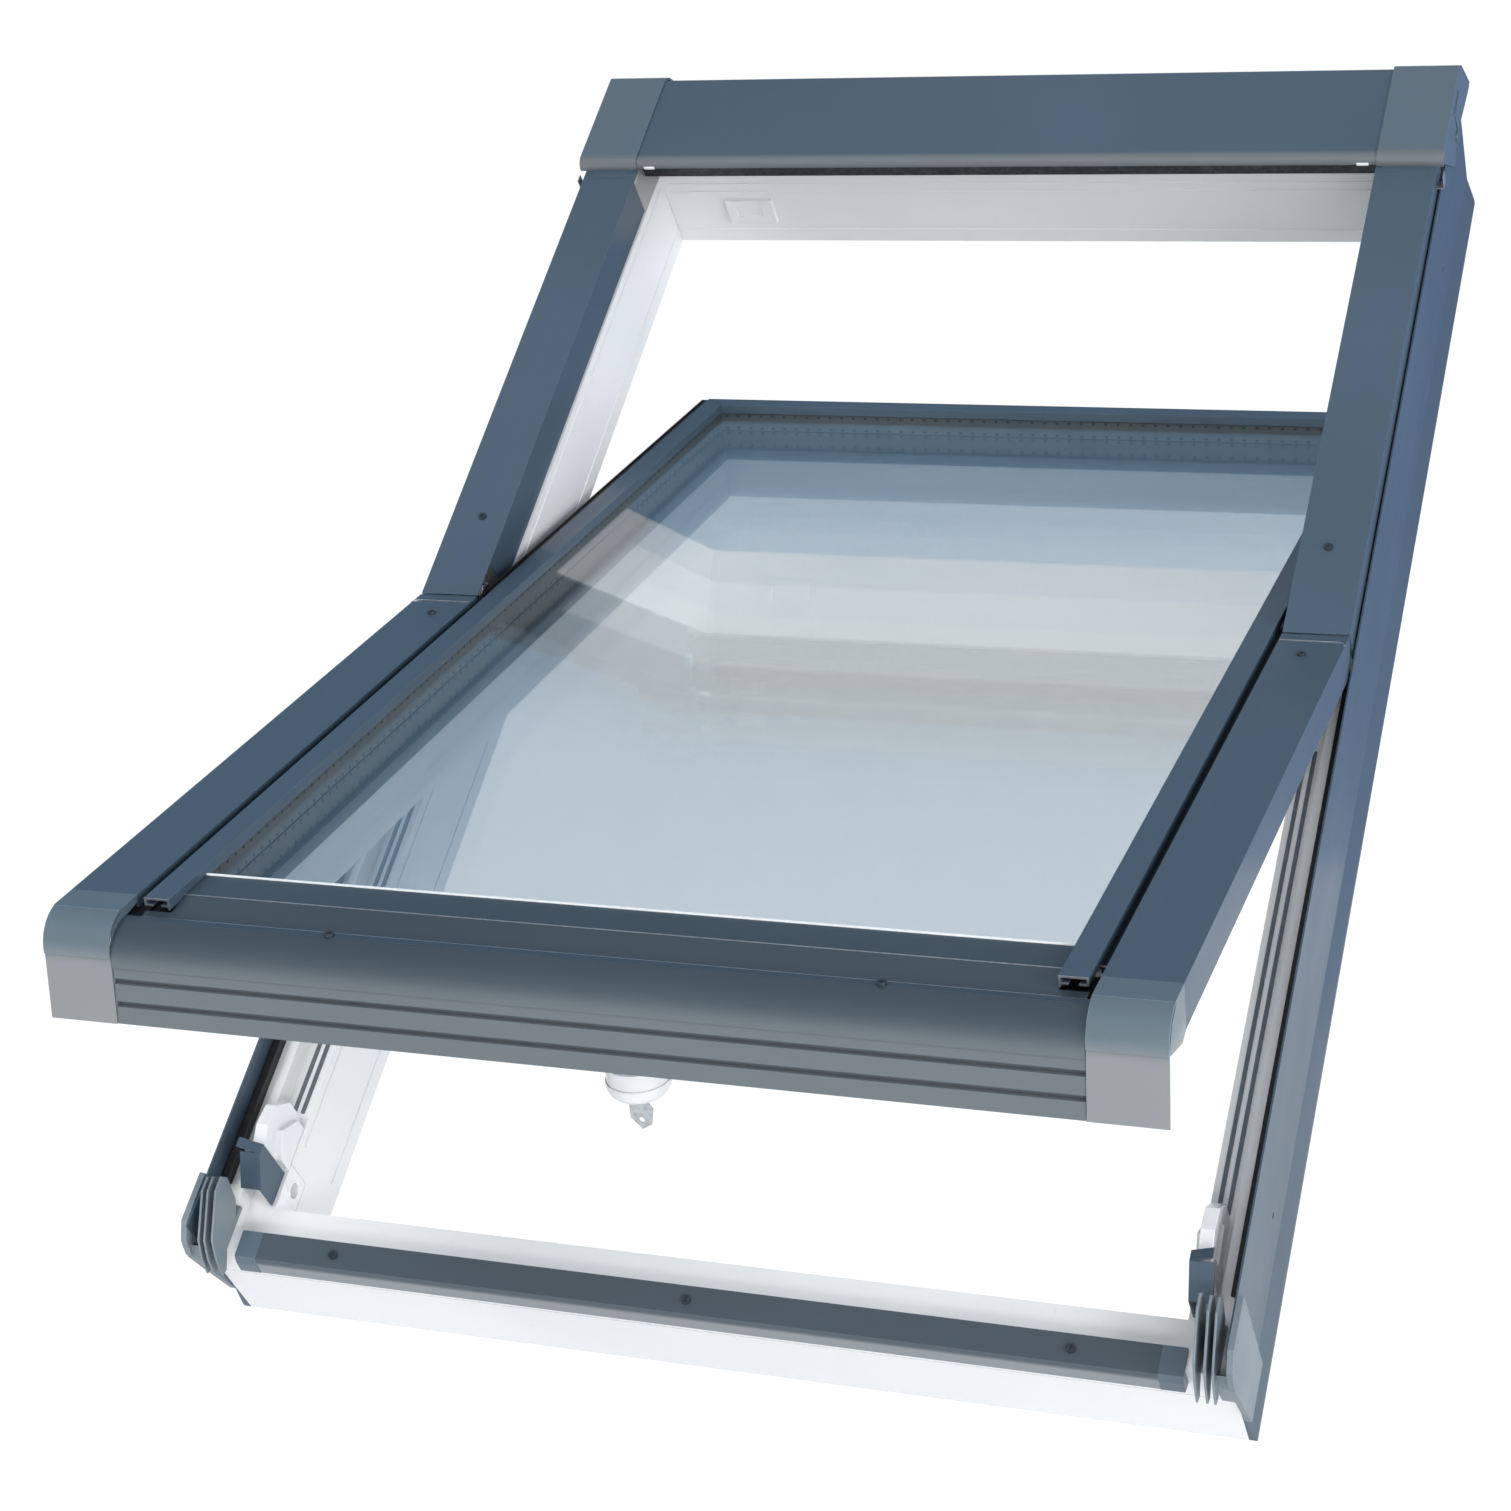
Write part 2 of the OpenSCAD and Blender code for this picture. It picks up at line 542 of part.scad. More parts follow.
module handle_lever() color(WHITE) sash() difference() {
  union() {
    translate([0, uk, -sash_d - 1]) cylinder(r = hub_r, h = 30 - 5);
    translate([0, uk, zr - 9]) cylinder(r = hub_r, h = rose_t + 9);
    translate([0, uk, zr - 22]) cylinder(r = 21.5, h = 13.9);
    translate([0, uk, zr - 30]) cylinder(r1 = 15, r2 = 21.5, h = 8);
    translate([0, uk, zr - 34]) cylinder(r = 11, h = 4);
    translate([0, uk + lever_l - 10, zr - 28]) cylinder(r = 9, h = 11);
    deep(zr - 28, zr - 17) polygon([[-11, uk], [11, uk], [9, uk + lever_l - 10], [-9, uk + lever_l - 10]]);
  }
  translate([0, uk, zr - 35]) cylinder(r = plug_r + slip, h = 20);
}
module lock_plug() color(STEEL) sash() difference() {
  translate([0, uk, zr - 35]) cylinder(r = plug_r, h = 19);
  box([-3.6, uk - 0.7, zr - 36], [3.6, uk + 0.7, zr - 19]);
}
module key() color(STEEL) sash() {
  box([-3.5, uk - 0.6, zr - 37], [3.5, uk + 0.6, zr - 20]);
  along(uk - 0.6, uk + 0.6) difference() {
    polygon([[-3.5, zr - 37], [-9, zr - 41], [-9, zr - 52], [-1, zr - 60], [6, zr - 56],
      [8, zr - 44], [3.5, zr - 37]]);
    translate([-1, zr - 53]) circle(r = 2);
  }
}
module bolt() translate([30, uk, zb]) rotate([0, 90, 0]) cylinder(r = bolt_r, h = xs - 2 - 30);
module bolt_right() color(STEEL) sash() bolt();
module bolt_left() color(STEEL) sash() left() bolt();

// ---------- fixings ----------
module frame_screws() color(STEEL) roof() {
  for (x = sill_screw_x) pan_screw([x, sill_screw_v, zt + 2.75]);
  for (s = [-1, 1]) pan_screw([s * (xc0 + 22), screw_v, 0]);
}
module sash_screws() color(STEEL) sash() {
  for (x = cover_screw_x) pan_screw([x, cover_screw_v, -6.5]);
  for (s = [-1, 1]) pan_screw([s * (xc0 + 22), -41, 0]);
}
module hood_brackets() color(STEEL) roof() for (s = [0, 1]) mirror([s, 0, 0])
  across(xi - 60, xi - 30) {
    rect(vti + 10, zt + 4, vt - 6, zt + 6);
    rect(vti + 10, zt + 4, vti + 12, hood_h - 1.7);
    rect(vti - 20, hood_h - 3.7, vti + 12, hood_h - 1.7);
  }

frame_head();
frame_sill();
frame_jamb_left();
frame_jamb_right();
reinforcements();
side_trim_left();
side_trim_right();
frame_gaskets();
head_rail();
vent_mesh();
hood();
hood_cap_left();
hood_cap_right();
hood_brackets();
upper_cover_left();
upper_cover_right();
frame_screws();
sill_cover();
sill_end_left();
sill_end_right();
corner_guide_left();
corner_guide_right();
guide_bracket_left();
guide_bracket_right();
keeper_left();
keeper_right();
head_catch();
frame_hinge_left();
frame_hinge_right();
sash_rail_top();
sash_rail_bottom();
sash_stile_left();
sash_stile_right();
pane_outer();
pane_middle();
pane_inner();
spacer_outer();
spacer_inner();
edge_seal();
glazing_gasket();
glazing_rail_left();
glazing_rail_right();
glazing_rail_top();
glazing_strip_bottom();
sash_gasket();
sash_cover_left();
sash_cover_right();
sash_screws();
cap_left();
cap_right();
bottom_cover();
sash_hinge_left();
sash_hinge_right();
gearbox();
handle_rose();
handle_lever();
lock_plug();
key();
bolt_left();
bolt_right();
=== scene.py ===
import json
import math

import bmesh
import bpy
from mathutils import Matrix, Vector


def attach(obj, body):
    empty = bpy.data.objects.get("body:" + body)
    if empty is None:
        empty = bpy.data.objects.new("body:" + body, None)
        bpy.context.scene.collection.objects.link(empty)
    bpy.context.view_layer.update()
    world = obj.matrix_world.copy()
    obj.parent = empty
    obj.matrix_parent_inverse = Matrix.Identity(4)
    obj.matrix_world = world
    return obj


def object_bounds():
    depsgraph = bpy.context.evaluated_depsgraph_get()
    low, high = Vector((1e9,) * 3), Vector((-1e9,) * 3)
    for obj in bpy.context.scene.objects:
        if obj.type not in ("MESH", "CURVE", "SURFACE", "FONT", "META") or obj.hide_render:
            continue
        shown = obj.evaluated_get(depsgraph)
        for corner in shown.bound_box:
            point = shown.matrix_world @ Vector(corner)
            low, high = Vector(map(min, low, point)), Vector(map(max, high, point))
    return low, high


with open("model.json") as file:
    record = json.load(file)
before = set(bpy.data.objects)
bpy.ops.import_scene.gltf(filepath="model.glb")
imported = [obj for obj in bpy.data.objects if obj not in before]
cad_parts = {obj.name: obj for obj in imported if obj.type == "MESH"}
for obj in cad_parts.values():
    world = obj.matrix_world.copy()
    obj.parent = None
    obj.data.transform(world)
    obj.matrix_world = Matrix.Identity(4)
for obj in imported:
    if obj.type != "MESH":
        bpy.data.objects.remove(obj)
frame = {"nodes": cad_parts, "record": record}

scene = bpy.context.scene
nodes, record = frame["nodes"], frame["record"]
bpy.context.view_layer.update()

# ---------- the two planes of the window ----------
# Both start at the pivot axis and run across, up the slope and out of the roof.
# New pieces are drawn in them, in mm.
joints = {j["name"]: j for j in record["behaviour"]["joints"]}
mounts = {m["name"]: m for m in record["mounts"]}
PIVOT = Vector(joints["sash_pivot"]["pos_m"])
ACROSS = Vector((1, 0, 0))


def plane(out):
    """Matrix from a plane's own directions to the world, from the way it looks out."""
    up = out.cross(ACROSS)
    return Matrix.Translation(PIVOT) @ Matrix((ACROSS, up, out)).transposed().to_4x4()


ROOF = plane(-Vector(mounts["room_face_left"]["axis"]).normalized())
SASH = plane(Vector(joints["handle_turn"]["axis"]).normalized())
MM = 0.001
SHARP = math.radians(35)  # corners sharper than this are rounded
FLAT = math.radians(0.6)  # facets that lie flatter than this are joined


# ---------- shader building ----------
class Value:
    """A socket that takes part in sums."""

    def __init__(self, finish, socket):
        self.finish, self.socket = finish, socket

    def sum(self, operation, *values):
        return self.finish.add("ShaderNodeMath", {"operation": operation}, dict(enumerate(values)))

    def __add__(self, other):
        return self.sum("ADD", self, other)

    __radd__ = __add__

    def __sub__(self, other):
        return self.sum("SUBTRACT", self, other)

    def __rsub__(self, other):
        return self.sum("SUBTRACT", other, self)

    def __mul__(self, other):
        return self.sum("MULTIPLY", self, other)

    __rmul__ = __mul__

    def __truediv__(self, other):
        return self.sum("DIVIDE", self, other)

    def size(self):
        return self.sum("ABSOLUTE", self)

    def repeat(self, pitch):
        """Distance from the middle of each pitch, 0 to half a pitch."""
        far = 1000.5  # keeps the count of pitches above zero
        return (self.sum("MODULO", self / pitch + far, 1.0) - 0.5).size() * pitch

    def band(self, low, high):
        """0 at low, 1 at high, smooth between."""
        settings = {"interpolation_type": "SMOOTHSTEP"}
        return self.finish.add("ShaderNodeMapRange", settings, {0: self, 1: low, 2: high, 3: 0.0, 4: 1.0})


class Finish:
    """One material, or the surroundings, built node by node."""

    def __init__(self, name=None, owner=None):
        self.owner = owner or bpy.data.materials.new(name)
        self.owner.use_nodes = True
        self.tree = self.owner.node_tree
        self.tree.nodes.clear()

    def add(self, kind, settings=None, sockets=None, out=0):
        """A node with its settings and sockets, handed back as one of its outputs."""
        node = self.tree.nodes.new(kind)
        for key, value in (settings or {}).items():
            if key == "stops":
                stops = node.color_ramp.elements
                while len(stops) < len(value):
                    stops.new(0.5)
                for stop, (place, colour) in zip(stops, value):
                    stop.position, stop.color = place, (*colour, 1)
            else:
                setattr(node, key, value)
        for key, value in (sockets or {}).items():
            if isinstance(value, Value):
                self.tree.links.new(value.socket, node.inputs[key])
            else:
                node.inputs[key].default_value = value
        return Value(self, node.outputs[out])

    def seen(self):
        """1 for rays from the camera and rays through glass, 0 for the others."""
        return self.add("ShaderNodeLightPath", out="Is Camera Ray") + self.add(
            "ShaderNodeLightPath", out="Is Transmission Ray")

    def place(self, matrix):
        """Position in the plane of the roof or the sash, in metres."""
        where = self.add("ShaderNodeTexCoord", out="Object")
        turn = -matrix.to_euler().x
        shift = -(Matrix.Rotation(turn, 3, "X") @ PIVOT)
        return self.add("ShaderNodeMapping", {}, {0: where, 1: shift, 2: (turn, 0, 0)})

    def stretch(self, where, scale):
        return self.add("ShaderNodeMapping", {}, {0: where, 3: scale})

    def split(self, where):
        node = self.add("ShaderNodeSeparateXYZ", {}, {0: where}).socket.node
        return [Value(self, node.outputs[i]) for i in range(3)]

    def noise(self, where, scale, detail=2.0, rough=0.5):
        sockets = {"Vector": where, "Scale": scale, "Detail": detail, "Roughness": rough}
        return self.add("ShaderNodeTexNoise", {}, sockets)

    def mix(self, share, first, second):
        first = first if isinstance(first, Value) else (*first, 1)
        second = second if isinstance(second, Value) else (*second, 1)
        return self.add("ShaderNodeMix", {"data_type": "RGBA"}, {0: share, 6: first, 7: second}, out=2)

    def patches(self, cloud, first, second):
        """Soft patches of two colours."""
        return self.mix(cloud.band(0.3, 0.7), first, second)

    def bump(self, height, depth, strength):
        return self.add("ShaderNodeBump", {}, {"Height": height, "Distance": depth, "Strength": strength})

    def edges(self, radius):
        """1 on sharp corners, 0 on flats."""
        soft = self.add("ShaderNodeBevel", {"samples": 4}, {"Radius": radius})
        flat = self.add("ShaderNodeNewGeometry", out="Normal")
        dot = {"operation": "DOT_PRODUCT"}
        along = self.add("ShaderNodeVectorMath", dot, {0: soft, 1: flat}, out="Value")
        return (1 - along).band(0.01, 0.22)

    def end(self, shader, kind="ShaderNodeOutputMaterial"):
        self.tree.links.new(shader.socket, self.tree.nodes.new(kind).inputs[0])
        return self.owner

    def surface(self, **sockets):
        named = {k.replace("_", " "): v for k, v in sockets.items()}
        return self.end(self.add("ShaderNodeBsdfPrincipled", {}, named))


def shade(colour, factor):
    return tuple(min(1, c * factor) for c in colour)


# ---------- finishes ----------
def powder_coat(name, matrix, colour, rough, shine=0.12, lip=None, depths=(-0.016, -0.034), slope=None):
    """Stoved coating on folded aluminium: orange peel, fine metallic grain, a thin film on the edges.

    A paler colour painted on the front lip, a painted highlight where the front faces catch the light, takes
    over between two depths and, where a slope is given, between two places up it.
    """
    f = Finish(name)
    where = f.place(matrix)
    cloud = f.noise(where, 2.6, 3)
    wipe = f.noise(f.stretch(where, (34, 3, 10)), 1.6, 4, 0.6)
    grain = f.noise(where, 2600, 1)
    peel = f.noise(where, 620, 2)
    edge = f.edges(0.0013)
    tone = f.patches(cloud, shade(colour, 0.9), shade(colour, 1.08))
    # painted highlight: the front lip is painted paler, standing for the light on the faces that look to the
    # front
    if lip:
        front = f.patches(cloud, shade(lip, 0.94), shade(lip, 1.05))
        _, along, depth = f.split(where)
        share = depth.band(*depths)
        if slope:
            share = share * along.band(*slope)
        tone = f.mix(share, tone, front)
    tone = f.mix(grain.band(0.55, 0.75) * 0.3, tone, shade(colour, 1.55))
    tone = f.mix(edge * 0.4, tone, shade(colour, 1.9))
    return f.surface(
        Base_Color=tone,
        Metallic=0.25,
        Roughness=(wipe - 0.5) * 0.16 + (grain - 0.5) * 0.1 + rough,
        Coat_Weight=shine,
        Coat_Roughness=0.12,
        Normal=f.bump(peel * 0.7 + grain * 0.3, 0.00006, 0.35),
    )


def white_profile(name, matrix):
    """Hollow extruded profile: faint drawing lines along its length, slightly waxy."""
    f = Finish(name)
    where = f.place(matrix)
    cloud = f.noise(where, 4, 3)
    lines = f.noise(f.stretch(where, (260, 2, 260)), 1.3, 2)
    dust = f.noise(where, 70, 5, 0.62)
    edge = f.edges(0.0012)
    tone = f.patches(cloud, (0.74, 0.755, 0.76), (0.8, 0.805, 0.8))
    tone = f.mix(dust.band(0.62, 0.85) * 0.16, tone, (0.62, 0.63, 0.62))
    tone = f.mix(edge * 0.35, tone, (0.9, 0.9, 0.9))
    return f.surface(
        Base_Color=tone,
        Roughness=lines * 0.14 + dust * 0.1 + 0.2,
        Subsurface_Weight=0.04,
        Subsurface_Radius=(0.004, 0.004, 0.004),
        Normal=f.bump(lines * 0.7 + dust * 0.3, 0.00005, 0.3),
    )


def white_fitting(name, matrix):
    """Glossy injection-moulded plastic."""
    f = Finish(name)
    where = f.place(matrix)
    flow = f.noise(where, 22, 4)
    fine = f.noise(where, 900, 2)
    edge = f.edges(0.0008)
    tone = f.patches(flow, (0.74, 0.76, 0.77), (0.8, 0.81, 0.81))
    tone = f.mix(edge * 0.4, tone, (0.92, 0.93, 0.93))
    return f.surface(
        Base_Color=tone,
        Roughness=flow * 0.12 + 0.2,
        Coat_Weight=0.25,
        Coat_Roughness=0.08,
        Normal=f.bump(fine * 0.4 + flow * 0.6, 0.00004, 0.3),
    )


def moulded_guide(name, matrix):
    """Grey moulded corner plastic with a spark-eroded skin."""
    f = Finish(name)
    where = f.place(matrix)
    skin = f.noise(where, 1500, 2)
    cloud = f.noise(where, 14, 3)
    edge = f.edges(0.001)
    tone = f.patches(cloud, (0.13, 0.165, 0.19), (0.18, 0.215, 0.24))
    tone = f.mix(edge * 0.55, tone, (0.42, 0.47, 0.5))
    return f.surface(
        Base_Color=tone,
        Roughness=skin * 0.16 + 0.32,
        Normal=f.bump(skin, 0.00006, 0.5),
    )


def rubber(name, matrix):
    """Matt black sealing strip, ribbed along its length, with a trace of dust."""
    f = Finish(name)
    where = f.place(matrix)
    ribs = f.noise(f.stretch(where, (900, 6, 900)), 1.0, 1)
    dust = f.noise(where, 120, 5, 0.65)
    tone = f.mix(dust.band(0.5, 0.8) * 0.5, (0.009, 0.009, 0.01), (0.045, 0.045, 0.043))
    return f.surface(
        Base_Color=tone,
        Roughness=dust * 0.25 + 0.42,
        Normal=f.bump(ribs * 0.6 + dust * 0.4, 0.00012, 0.5),
    )


def dark_rail(name, matrix):
    """Dark coated strip above the sash, brushed along its length."""
    f = Finish(name)
    where = f.place(matrix)
    brush = f.noise(f.stretch(where, (3, 420, 420)), 1.2, 2)
    spot = f.noise(where, 260, 3)
    edge = f.edges(0.001)
    tone = f.mix(spot.band(0.4, 0.75), (0.022, 0.025, 0.029), (0.05, 0.054, 0.06))
    tone = f.mix(edge * 0.5, tone, (0.2, 0.21, 0.23))
    return f.surface(
        Base_Color=tone,
        Metallic=0.4,
        Roughness=brush * 0.25 + 0.28,
        Normal=f.bump(brush, 0.00006, 0.4),
    )


def woven_strip(name, matrix):
    """Olive insect mesh: fine threads both ways over dark gaps."""
    f = Finish(name)
    where = f.place(matrix)
    across, up, out = f.split(where)
    pitch, thread_edge, thread_core = 0.0016, 0.00032, 0.0002
    warp, weft = (way.repeat(pitch).band(thread_edge, thread_core) for way in (across, out + up))
    thread = warp.sum("MAXIMUM", warp, weft)
    wear = f.noise(where, 90, 3)
    tone = f.mix(wear.band(0.35, 0.7), (0.17, 0.155, 0.105), (0.26, 0.24, 0.17))
    tone = f.mix(thread, (0.02, 0.019, 0.015), tone)
    return f.surface(
        Base_Color=tone,
        Roughness=wear * 0.2 + 0.55,
        Normal=f.bump(thread, 0.0003, 0.7),
    )


def sealing_lip(name, matrix):
    """Blue-grey sealing lip round the glass with fine lines along it."""
    f = Finish(name)
    where = f.place(matrix)
    lines = f.noise(f.stretch(where, (420, 420, 420)), 1.0, 1)
    dust = f.noise(where, 90, 4, 0.6)
    edge = f.edges(0.0008)
    tone = f.mix(dust.band(0.4, 0.75) * 0.6, (0.085, 0.11, 0.13), (0.15, 0.17, 0.185))
    tone = f.mix(edge * 0.5, tone, (0.35, 0.37, 0.38))
    return f.surface(
        Base_Color=tone,
        Roughness=dust * 0.2 + 0.4,
        Normal=f.bump(lines * 0.5 + dust * 0.5, 0.0001, 0.4),
    )


def zinc_steel(name, matrix, colour, rough=0.3, metal=0.95):
    """Zinc-plated steel: faint spangle and rolling marks."""
    f = Finish(name)
    where = f.place(matrix)
    spangle = f.add("ShaderNodeTexVoronoi", {}, {"Vector": where, "Scale": 260.0}, out="Distance")
    rolled = f.noise(f.stretch(where, (60, 900, 900)), 1, 2)
    stain = f.noise(where, 45, 4)
    edge = f.edges(0.0006)
    tone = f.mix(spangle.band(0.1, 0.8), shade(colour, 0.85), shade(colour, 1.1))
    tone = f.mix(stain.band(0.55, 0.8) * 0.5, tone, shade(colour, 0.6))
    tone = f.mix(edge * 0.5, tone, shade(colour, 1.4))
    return f.surface(
        Base_Color=tone,
        Metallic=metal,
        Roughness=rolled * 0.18 + stain * 0.12 + rough - 0.1,
        Normal=f.bump(rolled * 0.7 + spangle * 0.3, 0.00005, 0.4),
    )


def spacer_bar(name, matrix):
    """Satin bar between the panes with two rows of small vent holes."""
    f = Finish(name)
    where = f.place(matrix)
    across, up, out = f.split(where)
    pair_pitch, off_middle, hole_pitch, hole_edge, hole_core = 0.020, 0.006, 0.0116, 0.0019, 0.0013
    row = (out.repeat(pair_pitch) - off_middle).size() * 1.4
    facing = f.split(f.add("ShaderNodeNewGeometry", out="Normal"))[0].size().band(0.3, 0.7)
    hole = 0
    for way, share in ((across, 1 - facing), (up, facing)):
        along = way.repeat(hole_pitch)
        square = along * along + row * row
        hole = square.sum("SQRT", square).band(hole_edge, hole_core) * share + hole
    cloud = f.noise(where, 30, 3)
    tone = f.patches(cloud, (0.1, 0.108, 0.104), (0.12, 0.128, 0.122))
    tone = f.mix(hole, tone, (0.012, 0.014, 0.02))
    return f.surface(
        Base_Color=tone,
        Metallic=0.3,
        Roughness=cloud * 0.15 + 0.38,
        Normal=f.bump(1 - hole, 0.0002, 0.5),
    )


def window_glass(name, matrix, colour):
    """Clear pane with a trace of wiping marks in its gloss. Lamps shine through it, slightly dimmed."""
    f = Finish(name)
    where = f.place(matrix)
    wiped = f.noise(f.stretch(where, (4, 18, 4)), 1.5, 4, 0.6)
    drift = f.noise(where, 1.1, 2)
    pane = f.add("ShaderNodeBsdfPrincipled", {}, {
        "Base Color": f.patches(drift, shade(colour, 0.985), colour),
        "Roughness": wiped.band(0.66, 0.9) * 0.02,
        "Transmission Weight": 1.0,
        "IOR": 1.5,
    })
    clear = f.add("ShaderNodeBsdfTransparent", {}, {0: (*shade(colour, 0.85), 1)})
    lamp = f.add("ShaderNodeLightPath", out="Is Shadow Ray")
    return f.end(f.add("ShaderNodeMixShader", {}, {0: lamp, 1: pane, 2: clear}))


def coat(*look, **more):
    """A powder coat with its look settled, still to be named and placed."""
    return lambda name, matrix: powder_coat(name, matrix, *look, **more)


DARK = (0.062, 0.096, 0.134)
PALE = (0.098, 0.138, 0.172)
FINISHES = {
    "white_profile": white_profile,
    "white_fittings": white_fitting,
    "dark_cover": coat(DARK, 0.42),
    "pale_cover": coat(PALE, 0.36, 0.2),
    "guide_plastic": moulded_guide,
    "dark_rail": dark_rail,
    "mesh": woven_strip,
    "gasket": rubber,
    "seal_lip": sealing_lip,
    "glass": lambda name, matrix: window_glass(name, matrix, (0.93, 0.952, 0.96)),
    "spacer": spacer_bar,
    "steel": lambda name, matrix: zinc_steel(name, matrix, (0.52, 0.53, 0.55)),
    "screw": lambda name, matrix: zinc_steel(name, matrix, (0.05, 0.064, 0.08), 0.42, 0.6),
}
# parts whose coating differs from the rest of their slot, most of them by a paler front lip, a painted
# highlight on the faces that look to the front
HOOD_LIP_HIGHLIGHT = {"lip": (0.135, 0.152, 0.162), "depths": (0.03, 0.02), "slope": (0.5062, 0.5005)}
HOOD_CAP = coat(PALE, 0.36, 0.2, **HOOD_LIP_HIGHLIGHT)
SASH_CAP = coat((0.11, 0.15, 0.178), 0.36, 0.2, (0.228, 0.24, 0.246))
OWN = {
    "hood": coat(DARK, 0.42, **HOOD_LIP_HIGHLIGHT),
    "hood_cap_left": HOOD_CAP,
    "hood_cap_right": HOOD_CAP,
    "bottom_cover": coat((0.042, 0.062, 0.08), 0.36, 0.2, (0.125, 0.148, 0.162), (-0.013, -0.036)),
    "cap_left": SASH_CAP,
    "cap_right": SASH_CAP,
    "sill_cover": coat((0.068, 0.09, 0.11), 0.42, 0.12, (0.245, 0.27, 0.285), (-0.049, -0.053)),
    "glazing_strip_bottom": coat((0.047, 0.068, 0.086), 0.4),
}
made = {}


def finish(slot, matrix):
    """The material of a slot, or of a part in OWN, in one plane. Each is made once."""
    key = f"{slot}_{'sash' if matrix is SASH else 'roof'}"
    if key not in made:
        made[key] = (OWN.get(slot) or FINISHES[slot])(key, matrix)
    return made[key]


# ---------- the exact parts get rounded arrises and their finish ----------
# radius by slot in mm; the mesh and the spacers stay as they are
ROUND = {
    "white_profile": 0.8, "white_fittings": 0.7, "dark_cover": 0.45, "pale_cover": 0.45, "guide_plastic": 0.4,
    "dark_rail": 0.5, "gasket": 0.5, "seal_lip": 0.3, "steel": 0.3, "screw": 0.25, "glass": 0.4,
}


def soften(piece, radius):
    arris = piece.modifiers.new("arris", "BEVEL")
    arris.width, arris.segments = radius * MM, 2
    arris.limit_method, arris.angle_limit = "ANGLE", SHARP
    piece.modifiers.new("shading", "WEIGHTED_NORMAL").keep_sharp = True


slots = {s["node"]: s["material_slot"] for s in record["subparts"]}
bodies = record["behaviour"]["bodies"]
for name, piece in nodes.items():
    slot = slots[name]
    matrix = ROOF if name in bodies["frame"] else SASH
    piece.data.materials.clear()
    piece.data.materials.append(finish(name if name in OWN else slot, matrix))
    if slot in ROUND:
        piece.modifiers.new("joined", "WELD").merge_threshold = 1e-6
        flat = piece.modifiers.new("flats", "DECIMATE")
        flat.decimate_type, flat.angle_limit = "DISSOLVE", FLAT
        soften(piece, ROUND[slot])


# ---------- small pieces that finish the metalwork ----------
def reach(name, matrix):
    """Lowest and highest corner of a part in the plane of the roof or the sash, in mm."""
    back = matrix.inverted()
    spots = [back @ v.co / MM for v in nodes[name].data.vertices]
    return [Vector(pick(c) for c in zip(*spots)) for pick in (min, max)]


def bar(bm, low, high):
    """A box between its lowest and highest corner."""
    low, high = Vector(low) * MM, Vector(high) * MM
    corners = bmesh.ops.create_cube(bm, size=1)["verts"]
    bmesh.ops.scale(bm, vec=high - low, verts=corners)
    bmesh.ops.translate(bm, vec=(low + high) / 2, verts=corners)


def only(kind, parts):
    """Those of a mesh's parts that are corners, or edges."""
    return [part for part in parts if isinstance(part, kind)]


def plate(bm, outline, away):
    """A flat outline given thickness in one direction."""
    face = bm.faces.new([bm.verts.new(Vector(p) * MM) for p in outline])
    grown = bmesh.ops.extrude_face_region(bm, geom=[face])["geom"]
    bmesh.ops.translate(bm, vec=Vector(away) * MM, verts=only(bmesh.types.BMVert, grown))


def turned(bm, section, middle, axis, angle=math.tau, steps=48):
    """A closed section swept round an axis."""
    corners = [bm.verts.new(Vector(p) * MM) for p in section]
    sides = [bm.edges.new((a, b)) for a, b in zip(corners, corners[1:] + corners[:1])]
    whole = angle == math.tau
    if not whole:
        bm.faces.new(corners)
    swept = bmesh.ops.spin(bm, geom=corners + sides, cent=Vector(middle) * MM, axis=axis, angle=angle,
                           steps=steps, use_merge=whole)["geom_last"]
    if not whole:
        bmesh.ops.contextual_create(bm, geom=only(bmesh.types.BMEdge, swept))


def fitted(name, matrix, body, slot, draw, radius, paired=False):
    """A new piece drawn in one plane. A paired one is drawn at the right and repeated at the left."""
    bm = bmesh.new()
    draw(bm)
    if paired:
        copy = bmesh.ops.duplicate(bm, geom=bm.verts[:] + bm.edges[:] + bm.faces[:])["geom"]
        bmesh.ops.scale(bm, vec=(-1, 1, 1), verts=only(bmesh.types.BMVert, copy))
    bmesh.ops.transform(bm, matrix=matrix, verts=bm.verts)
    bmesh.ops.recalc_face_normals(bm, faces=bm.faces)
    mesh = bpy.data.meshes.new(name)
    bm.to_mesh(mesh)
    bm.free()
    mesh.shade_smooth()
    piece = bpy.data.objects.new(name, mesh)
    scene.collection.objects.link(piece)
    mesh.materials.append(finish(slot, matrix))
    soften(piece, radius)
    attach(piece, body)


strip = reach("glazing_strip_bottom", SASH)
lower_cover = reach("bottom_cover", SASH)
rail = reach("glazing_rail_right", SASH)
side_cover = reach("sash_cover_right", SASH)
glass_top = reach("pane_outer", SASH)[1].z


def glass_bead(bm):
    """White bead along the lower edge of the glass."""
    set_in, overlap, width, height, clear = 1, 0.1, 1.6, 2.9, 0.02
    bar(bm, (strip[0].x + set_in, strip[1].y - overlap, glass_top + clear),
        (strip[1].x - set_in, strip[1].y + width, glass_top + height))


fitted("glass_bead", SASH, "sash", "white_fittings", glass_bead, 0.25)


def fold_highlights(bm):
    """Light bars on the two folds of the strip and on the upper edge of the cover below it, painted
    highlights along these edges.
    """
    strip_width, strip_fall, half, sunk, proud = 30, 4.8, 0.5, 0.6, 0.3
    for at, top in ((strip[1].y - strip_width, strip[1].z), (strip[0].y + 1, strip[1].z - strip_fall)):
        bar(bm, (strip[0].x, at - half, top - sunk), (strip[1].x, at + half, top + proud))
    set_in, back, front, bottom, top = 1, 0.1, 0.9, -7.1, -6.2
    bar(bm, (lower_cover[0].x + set_in, lower_cover[1].y - front, bottom),
        (lower_cover[1].x - set_in, lower_cover[1].y - back, top))


# light bars painted as highlights on the strip's folds and the cover's upper edge
fitted("strip_highlights", SASH, "sash", "steel", fold_highlights, 0.2)


